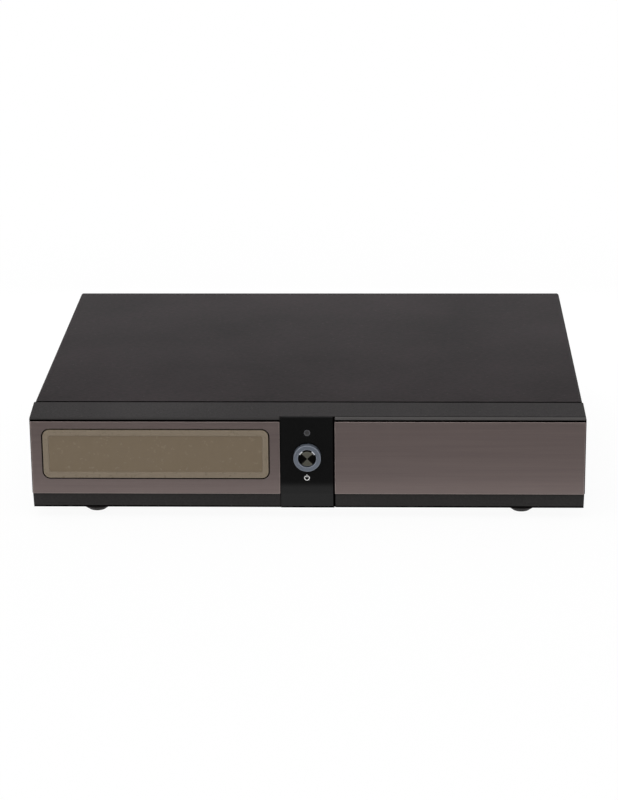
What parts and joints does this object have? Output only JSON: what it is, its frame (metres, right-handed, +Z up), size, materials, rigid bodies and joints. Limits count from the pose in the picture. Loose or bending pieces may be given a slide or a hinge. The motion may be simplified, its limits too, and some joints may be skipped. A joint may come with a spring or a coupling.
{
  "type": "television receiver box",
  "caption": "Flat steel set-top television recorder with a display window, round power button and a flap door over keys and card slots.",
  "frame": {"origin": "on the floor under the middle of the part's box", "axes": "+X to the viewer's right along the width, +Y from the fascia to the back, +Z up"},
  "size_m": [0.34, 0.2754, 0.0704],
  "materials": {
    "cover_steel": "fine matte black powder coat",
    "plain_steel": "zinc-plated sheet",
    "fascia_plastic": "satin black moulding",
    "gloss_panel": "piano black gloss",
    "bronze_plate": "horizontally brushed, brown anodised",
    "window_acrylic": "olive tinted acrylic",
    "eye_acrylic": "smoked acrylic",
    "ring_metal": "satin blue-grey metallised",
    "button_metal": "spun in circles",
    "panel_plastic": "fine texture",
    "key_plastic": "satin",
    "black_plastic": "moulded",
    "rocker_plastic": "smooth",
    "foot_rubber": "matte",
    "socket_metal": "nickel-plated sheet",
    "board_laminate": "green solder mask",
    "power_board_laminate": "tan laminate",
    "tube_glass": "dark glass tube, taken as opaque",
    "sink_aluminium": "plain",
    "ferrite": "ferrite core with taped winding",
    "capacitor_sleeve": "shrink sleeve",
    "ribbon_plastic": "flat cable"
  },
  "bodies": {
    "case": {"top_cover": "cover_steel", "chassis_tray": "plain_steel", "rear_panel": "plain_steel", "front_bezel": "fascia_plastic", "centre_panel": "gloss_panel", "display_plate": "bronze_plate", "display_window": "window_acrylic", "door_magnet": "black_plastic", "power_button_ring": "ring_metal", "remote_eye": "eye_acrylic", "control_panel": "panel_plastic", "card_cage": "socket_metal", "front_usb_socket": "socket_metal", "rubber_feet": "foot_rubber", "cover_screws": "cover_steel", "front_board": "board_laminate", "display_tube": "tube_glass", "tact_switches": "black_plastic", "main_board": "board_laminate", "board_screws": "plain_steel", "heat_sink": "sink_aluminium", "decoder_chip": "black_plastic", "memory_chips": "black_plastic", "tuner_left": "socket_metal", "tuner_right": "socket_metal", "power_board": "power_board_laminate", "transformer": "ferrite", "power_capacitors": "capacitor_sleeve", "power_heat_sink": "sink_aluminium", "hard_disk": "sink_aluminium", "disk_bracket": "plain_steel", "disk_screws": "plain_steel", "fan_frame": "black_plastic", "fan_screws": "plain_steel", "mains_inlet": "black_plastic", "mains_switch_housing": "black_plastic", "scart_sockets": "black_plastic", "phono_sockets": "black_plastic", "hdmi_socket": "socket_metal", "ethernet_socket": "socket_metal", "rear_usb_socket": "socket_metal", "front_ribbon": "ribbon_plastic"},
    "door": {"door_shell": "fascia_plastic", "door_plate": "bronze_plate", "door_hinge_pins": "plain_steel", "door_strike": "plain_steel"},
    "power_button": {"power_button": "button_metal"},
    "menu_key": {"menu_key": "key_plastic"},
    "exit_key": {"exit_key": "key_plastic"},
    "ok_key": {"ok_key": "key_plastic"},
    "channel_up_key": {"channel_up_key": "key_plastic"},
    "channel_down_key": {"channel_down_key": "key_plastic"},
    "volume_up_key": {"volume_up_key": "key_plastic"},
    "volume_down_key": {"volume_down_key": "key_plastic"},
    "upper_eject_button": {"upper_eject_button": "key_plastic"},
    "lower_eject_button": {"lower_eject_button": "key_plastic"},
    "mains_rocker": {"mains_rocker": "rocker_plastic"},
    "fan_rotor": {"fan_rotor": "black_plastic"}
  },
  "joints": [
    {"name": "door_hinge", "type": "hinge", "parent": "case", "child": "door", "pos_m": [0.09345, -0.12905, 0.009], "axis": [1, 0, 0], "range_deg": [0, 90]},
    {"name": "power_button_press", "type": "slide", "parent": "case", "child": "power_button", "axis": [0, 1, 0], "range_m": [0, 0.0008], "stiffness_N_per_m": 300, "springref_m": -0.0008},
    {"name": "menu_key_press", "type": "slide", "parent": "case", "child": "menu_key", "axis": [0, 1, 0], "range_m": [0, 0.0008], "stiffness_N_per_m": 200, "springref_m": -0.0008},
    {"name": "exit_key_press", "type": "slide", "parent": "case", "child": "exit_key", "axis": [0, 1, 0], "range_m": [0, 0.0008], "stiffness_N_per_m": 200, "springref_m": -0.0008},
    {"name": "ok_key_press", "type": "slide", "parent": "case", "child": "ok_key", "axis": [0, 1, 0], "range_m": [0, 0.0008], "stiffness_N_per_m": 200, "springref_m": -0.0008},
    {"name": "channel_up_key_press", "type": "slide", "parent": "case", "child": "channel_up_key", "axis": [0, 1, 0], "range_m": [0, 0.0008], "stiffness_N_per_m": 200, "springref_m": -0.0008},
    {"name": "channel_down_key_press", "type": "slide", "parent": "case", "child": "channel_down_key", "axis": [0, 1, 0], "range_m": [0, 0.0008], "stiffness_N_per_m": 200, "springref_m": -0.0008},
    {"name": "volume_up_key_press", "type": "slide", "parent": "case", "child": "volume_up_key", "axis": [0, 1, 0], "range_m": [0, 0.0008], "stiffness_N_per_m": 200, "springref_m": -0.0008},
    {"name": "volume_down_key_press", "type": "slide", "parent": "case", "child": "volume_down_key", "axis": [0, 1, 0], "range_m": [0, 0.0008], "stiffness_N_per_m": 200, "springref_m": -0.0008},
    {"name": "upper_eject_button_press", "type": "slide", "parent": "case", "child": "upper_eject_button", "axis": [0, 1, 0], "range_m": [0, 0.003], "stiffness_N_per_m": 100, "springref_m": -0.003},
    {"name": "lower_eject_button_press", "type": "slide", "parent": "case", "child": "lower_eject_button", "axis": [0, 1, 0], "range_m": [0, 0.003], "stiffness_N_per_m": 100, "springref_m": -0.003},
    {"name": "mains_rocker_tip", "type": "hinge", "parent": "case", "child": "mains_rocker", "pos_m": [-0.148, 0.12435, 0.0315], "axis": [1, 0, 0], "range_deg": [-16, 0]},
    {"name": "fan_spin", "type": "hinge", "parent": "case", "child": "fan_rotor", "pos_m": [-0.0647, 0.11575, 0.0354], "axis": [0, 1, 0], "continuous": true}
  ]
}
